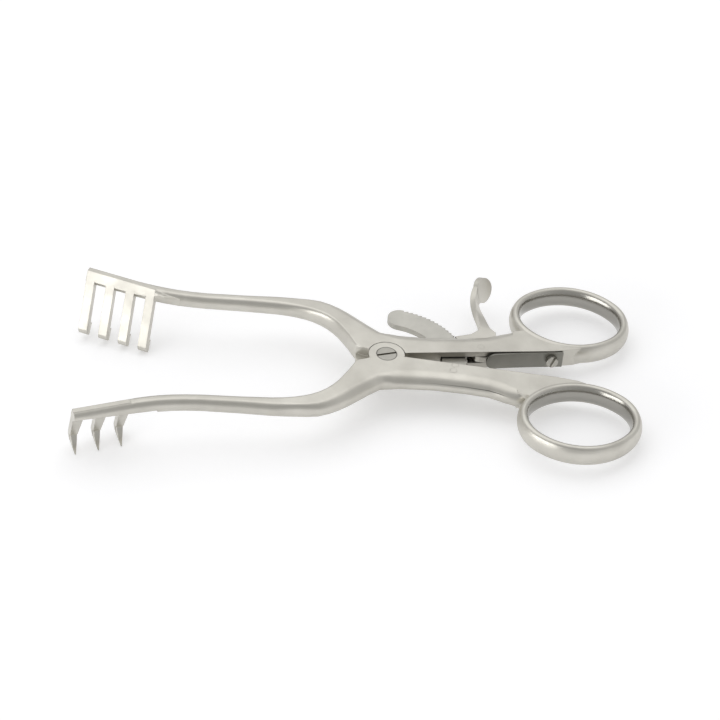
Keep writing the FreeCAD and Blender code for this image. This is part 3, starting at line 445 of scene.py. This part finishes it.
def satin_steel(finish):
    """Bead-blasted steel of the arms and lever, polished inside the finger rings, with a painted
    dark reflection there and painted shade from the shade lines mask.
    """
    tree, shader, place, grain = metal(
        "satin_steel_blasted", finish.steel_colour, finish.steel_shade, finish.satin_roughness)
    grain.inputs["Pit scale"].default_value = 1.0 / finish.grain_size
    grain.inputs["Cloud scale"].default_value = CLOUD_SCALE
    masks = []
    for side in (1, -1):
        centre = INSTRUMENT @ Vector((RING_CENTRE[0], RING_CENTRE[1] * side, 0.0))
        turn = (INSTRUMENT @ Matrix.Rotation(-RING_TURN * side, 4, "Z")).to_euler()
        polish = placed_group(tree, "ring_polish", place, Centre=centre, Turn=turn,
                              Hole=(RING_HOLE[0], RING_HOLE[1], 1.0))
        masks.append(polish.outputs["Mask"])
    polished = combined(tree, "MAXIMUM", *masks)

    roughness = shader.inputs["Roughness"]
    blend = add(tree, "ShaderNodeMix", data_type="FLOAT", B=finish.polish_roughness)
    tree.links.new(polished, blend.inputs["Factor"])
    tree.links.new(roughness.links[0].from_socket, blend.inputs["A"])
    tree.links.new(blend.outputs["Result"], roughness)

    lines = placed_group(tree, "work_lines", place, Centre=INSTRUMENT.translation,
                         Turn=(0.0, TILT, 0.0))
    # Painted light: a darker colour stands for dark reflections in the rings, and painted shade
    # lies on the inner faces, along the crease and round the screw head.
    shade_line_colour = [part * SHADE_LINE_DARKNESS for part in finish.steel_shade]
    colour = shader.inputs["Base Color"].links[0].from_socket
    colour = tinted(tree, polished, colour, finish.ring_dark_reflection_colour)
    colour = tinted(tree, lines.outputs["Milled"], colour, finish.inner_face_shade_colour)
    colour = tinted(tree, lines.outputs["Line"], colour, shade_line_colour)
    tree.links.new(colour, shader.inputs["Base Color"])
    bumped(tree, shader, grain.outputs["Pits"], PIT_STRENGTH, finish.edge_softness)


def ground_steel(name, colour, roughness, turn, scale, strength, softness):
    """Ground steel with hair lines running one way over its clouded colour."""
    shade = [part * GROUND_SHADE for part in colour]
    tree, shader, place = metal(name, colour, shade, roughness)[:3]
    lines = placed_group(tree, "grinding_lines", place, Turn=(0.0, TILT, turn), Line_scale=scale)
    bumped(tree, shader, lines.outputs["Lines"], strength, softness)


def make_materials():
    """Every finish of the instrument, made once and kept by name."""
    if "satin_steel_blasted" in bpy.data.materials:
        return
    finish = bpy.context.scene.retractor_finish
    blasted_grain_group()
    grinding_group()
    ring_polish_group()
    painted_shade_lines_group()
    satin_steel(finish)
    for name, colour, roughness, turn, scale, strength in GROUND_STEELS:
        ground_steel(name, getattr(finish, colour), roughness, turn, scale, strength,
                     finish.edge_softness * GROUND_SOFTNESS)


# Making of pieces

def merged_copy(node, name):
    """A copy of a solid's mesh with its loose triangles joined into one closed skin."""
    source = frame["nodes"][node]
    mesh = bpy.data.meshes.new(name)
    work = bmesh.new()
    work.from_mesh(source.data)
    bmesh.ops.remove_doubles(work, verts=work.verts, dist=MERGE_GAP)
    bmesh.ops.dissolve_limit(
        work, angle_limit=FLAT_ANGLE, use_dissolve_boundaries=False,
        verts=work.verts, edges=work.edges)
    work.to_mesh(mesh)
    work.free()
    for stale in ("custom_normal", "sharp_face"):
        if stale in mesh.attributes:
            mesh.attributes.remove(mesh.attributes[stale])
    piece = bpy.data.objects.new(name, mesh)
    bpy.context.scene.collection.objects.link(piece)
    return piece


def finish_piece(piece, material_name):
    """One finish, and smooth shading that stays crisp at every crease."""
    piece.data.materials.clear()
    piece.data.materials.append(bpy.data.materials[material_name])
    for polygon in piece.data.polygons:
        polygon.use_smooth = True
    piece.data.set_sharp_from_angle(angle=CREASE)
    weighted = piece.modifiers.new("even_faces", "WEIGHTED_NORMAL")
    weighted.keep_sharp = True
    weighted.weight = FACE_WEIGHT


def dress(node, material_name):
    """The solid itself, with every slot showing one finish."""
    for place in frame["nodes"][node].material_slots:
        place.material = bpy.data.materials[material_name]


def finished_solid(node, name, body, material_name):
    """A merged and softly shaded stand-in for a solid, riding with its body."""
    piece = merged_copy(node, name)
    finish_piece(piece, material_name)
    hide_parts(node)
    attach(piece, body)


class RETRACTOR_OT_arms(bpy.types.Operator):
    """Make the two satin steel arms with their finger rings and rakes"""
    bl_idname = "retractor.arms"
    bl_label = "Arms"

    def execute(self, context):
        make_materials()
        for arm in ("upper_arm", "lower_arm"):
            finished_solid(arm, arm + "_satin", arm, "satin_steel_blasted")
        return {"FINISHED"}


class RETRACTOR_OT_lever(bpy.types.Operator):
    """Make the release lever with its thumb tab"""
    bl_idname = "retractor.lever"
    bl_label = "Release lever"

    def execute(self, context):
        make_materials()
        finished_solid("release_lever", "release_lever_satin", "release_lever",
                       "satin_steel_blasted")
        return {"FINISHED"}


class RETRACTOR_OT_rack(bpy.types.Operator):
    """Dress the toothed rack and the pins that hold it"""
    bl_idname = "retractor.rack"
    bl_label = "Toothed rack"

    def execute(self, context):
        make_materials()
        dress("ratchet_bar", "rack_steel_ground")
        dress("ratchet_pins", "satin_steel_blasted")
        return {"FINISHED"}


class RETRACTOR_OT_fasteners(bpy.types.Operator):
    """Dress the pivot screw, the spring screw and the flush lever pin"""
    bl_idname = "retractor.fasteners"
    bl_label = "Screws and pin"

    def execute(self, context):
        make_materials()
        for node in ("pivot_screw", "spring_screw"):
            dress(node, "screw_steel_turned")
        dress("lever_pin", "satin_steel_blasted")
        return {"FINISHED"}


class RETRACTOR_OT_leaf_spring(bpy.types.Operator):
    """Make the leaf spring, cut into bands along its length"""
    bl_idname = "retractor.leaf_spring"
    bl_label = "Leaf spring"

    def execute(self, context):
        make_materials()
        sizes = context.scene.leaf_spring_sizes
        piece = merged_copy("leaf_spring", "leaf_spring_banded")
        work = bmesh.new()
        work.from_mesh(piece.data)
        low, high = (Vector(corner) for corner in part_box("leaf_spring"))
        start = (INSTRUMENT.inverted() @ low).x
        end = (INSTRUMENT.inverted() @ high).x
        along = (INSTRUMENT.to_3x3() @ Vector((1.0, 0.0, 0.0))).normalized()
        for band in range(1, sizes.bands):
            spot = INSTRUMENT @ Vector((start + (end - start) * band / sizes.bands, 0.0, 0.0))
            bmesh.ops.bisect_plane(
                work, geom=work.verts[:] + work.edges[:] + work.faces[:], dist=CUT_GAP,
                plane_co=spot, plane_no=along)
        work.to_mesh(piece.data)
        work.free()
        # The spring's finish carries painted shade in its darker colour.
        finish_piece(piece, "spring_steel_blued")
        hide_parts("leaf_spring")
        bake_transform(piece)
        return {"FINISHED"}


# Stage

def aimed_lamp(name, offset, power, size):
    """A large soft lamp pointed at the pivot."""
    lamp = bpy.data.lights.new(name, "AREA")
    lamp.shape = "RECTANGLE"
    lamp.size, lamp.size_y = size
    lamp.energy = power
    holder = bpy.data.objects.new(name, lamp)
    holder.location = INSTRUMENT.translation + offset
    holder.rotation_euler = (-offset).to_track_quat("-Z", "Y").to_euler()
    bpy.context.scene.collection.objects.link(holder)


def white_paper(stage):
    """Matt paper that takes a shadow and otherwise reads as white."""
    material = bpy.data.materials.new("white_paper")
    material.use_nodes = True
    tree = material.node_tree
    shader = tree.nodes["Principled BSDF"]
    shader.inputs["Base Color"].default_value = tuple(stage.floor_colour) + (1.0,)
    shader.inputs["Roughness"].default_value = 0.9
    shader.inputs["Specular IOR Level"].default_value = 0.0
    shader.inputs["Emission Color"].default_value = (1.0, 1.0, 1.0, 1.0)
    rays = tree.nodes.new("ShaderNodeLightPath")
    seen = combined(tree, "MAXIMUM", rays.outputs["Is Camera Ray"], rays.outputs["Is Glossy Ray"],
                    rays.outputs["Is Transmission Ray"])
    glow = add(tree, "ShaderNodeMath", operation="MULTIPLY")
    glow.inputs[1].default_value = stage.floor_glow
    tree.links.new(seen, glow.inputs[0])
    tree.links.new(glow.outputs["Value"], shader.inputs["Emission Strength"])
    return material


def paper_floor(stage, height):
    """The sheet of paper under the instrument."""
    work = bmesh.new()
    bmesh.ops.create_grid(work, x_segments=1, y_segments=1, size=stage.floor_width / 2)
    bmesh.ops.translate(work, verts=work.verts, vec=(0.0, 0.0, height))
    mesh = bpy.data.meshes.new("paper_floor")
    work.to_mesh(mesh)
    work.free()
    floor = bpy.data.objects.new("paper_floor", mesh)
    bpy.context.scene.collection.objects.link(floor)
    mesh.materials.append(white_paper(stage))


def studio_room(level):
    """Room light: bright all round, grey high in front where the photographer stands."""
    world = bpy.data.worlds.new("studio_room")
    world.use_nodes = True
    tree = world.node_tree
    background = tree.nodes["Background"]
    background.inputs["Strength"].default_value = 1.0
    direction = tree.nodes.new("ShaderNodeTexCoord")
    facing = add(tree, "ShaderNodeVectorMath", operation="DOT_PRODUCT")
    facing.inputs[1].default_value = ROOM_DIM_SIDE.normalized()
    tree.links.new(direction.outputs["Generated"], facing.inputs[0])
    ramp = tree.nodes.new("ShaderNodeValToRGB")
    elements = ramp.color_ramp.elements
    while len(elements) < len(ROOM_STEPS):
        elements.new(0.5)
    for element, (spot, share) in zip(elements, ROOM_STEPS):
        element.position = spot
        element.color = (level * share, level * share, level * share, 1.0)
    tree.links.new(facing.outputs["Value"], ramp.inputs["Fac"])
    tree.links.new(ramp.outputs["Color"], background.inputs["Color"])
    bpy.context.scene.world = world


def photo_camera(scene):
    """The camera at the place the photo was taken from."""
    lens = bpy.data.cameras.new("photo_camera")
    lens.lens = CAMERA_LENS
    lens.sensor_width = CAMERA_SENSOR
    lens.clip_start, lens.clip_end = CAMERA_CLIP
    camera = bpy.data.objects.new("photo_camera", lens)
    scene.collection.objects.link(camera)
    back = CAMERA_RIGHT.cross(CAMERA_UP)
    turn = Matrix((CAMERA_RIGHT, CAMERA_UP, back)).transposed().to_4x4()
    camera.matrix_world = INSTRUMENT @ Matrix.Translation(CAMERA_PLACE) @ turn
    scene.camera = camera


class RETRACTOR_OT_stage(bpy.types.Operator):
    """Make the paper floor, the lamps, the room light and the camera"""
    bl_idname = "retractor.stage"
    bl_label = "Stage"

    def execute(self, context):
        stage = context.scene.studio_stage
        paper_floor(stage, CAD_BOX[0][2] - FLOOR_DROP)
        aimed_lamp("key_lamp", KEY_OFFSET, stage.key_power, KEY_SIZE)
        aimed_lamp("front_lamp", FRONT_OFFSET, stage.front_power, FRONT_SIZE)
        studio_room(stage.room_level)
        photo_camera(context.scene)
        context.scene.view_settings.view_transform = "Standard"
        return {"FINISHED"}


class RETRACTOR_PT_panel(bpy.types.Panel):
    bl_idname = "RETRACTOR_PT_panel"
    bl_label = "Self retaining retractor"
    bl_space_type = "VIEW_3D"
    bl_region_type = "UI"
    bl_category = "Retractor"

    def draw(self, context):
        layout = self.layout
        for kind in OPERATORS:
            layout.operator(kind.bl_idname)
        for group in ("retractor_finish", "leaf_spring_sizes", "studio_stage"):
            box = layout.box()
            values = getattr(context.scene, group)
            for name in values.bl_rna.properties.keys():
                if name not in ("rna_type", "name"):
                    box.prop(values, name)


OPERATORS = (
    RETRACTOR_OT_arms,
    RETRACTOR_OT_rack,
    RETRACTOR_OT_lever,
    RETRACTOR_OT_leaf_spring,
    RETRACTOR_OT_fasteners,
    RETRACTOR_OT_stage,
)
GROUPS = (RetractorFinish, LeafSpringSizes, StudioStage)


def register():
    for kind in GROUPS + OPERATORS + (RETRACTOR_PT_panel,):
        bpy.utils.register_class(kind)
    bpy.types.Scene.retractor_finish = bpy.props.PointerProperty(type=RetractorFinish)
    bpy.types.Scene.leaf_spring_sizes = bpy.props.PointerProperty(type=LeafSpringSizes)
    bpy.types.Scene.studio_stage = bpy.props.PointerProperty(type=StudioStage)


def unregister():
    del bpy.types.Scene.studio_stage
    del bpy.types.Scene.leaf_spring_sizes
    del bpy.types.Scene.retractor_finish
    for kind in reversed(GROUPS + OPERATORS + (RETRACTOR_PT_panel,)):
        bpy.utils.unregister_class(kind)


def main():
    register()
    bpy.ops.retractor.arms()
    bpy.ops.retractor.rack()
    bpy.ops.retractor.lever()
    bpy.ops.retractor.leaf_spring()
    bpy.ops.retractor.fasteners()
    bpy.ops.retractor.stage()


if __name__ == "__main__":
    main()
